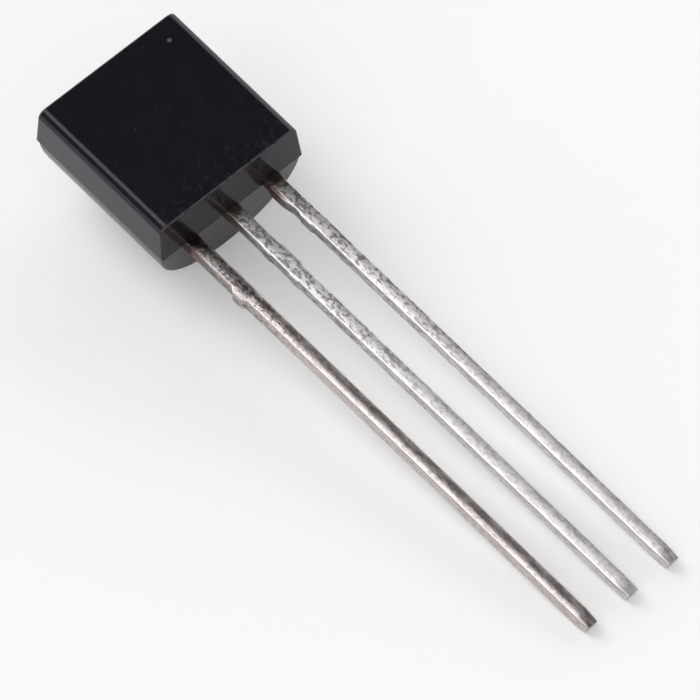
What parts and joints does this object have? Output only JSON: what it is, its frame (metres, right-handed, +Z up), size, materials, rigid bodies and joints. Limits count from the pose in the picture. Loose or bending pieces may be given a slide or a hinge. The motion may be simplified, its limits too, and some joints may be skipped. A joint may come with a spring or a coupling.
{
  "type": "to-92 transistor",
  "caption": "Small-signal transistor in a moulded TO-92 body with a flat face, a half-round back and straight tinned leads.",
  "frame": {"origin": "on the surface that the part rests on, below the middle of its outline", "axes": "+Z up; +X from the body towards the lead tips; +Y across the leads, from the emitter towards the collector; the package's own axis dips about 7 degrees towards the tips, as the part comes to rest"},
  "size_m": [0.0188, 0.0044, 0.0038],
  "materials": {
    "mould_epoxy": "satin",
    "tinned_lead": "satin",
    "silicon": "polished",
    "bond_wire": "polished"
  },
  "bodies": {
    "root": {"body": "mould_epoxy", "lead_emitter": "tinned_lead", "lead_base": "tinned_lead", "lead_collector": "tinned_lead", "die": "silicon", "bond_wire_base": "bond_wire", "bond_wire_emitter": "bond_wire"}
  },
  "joints": []
}
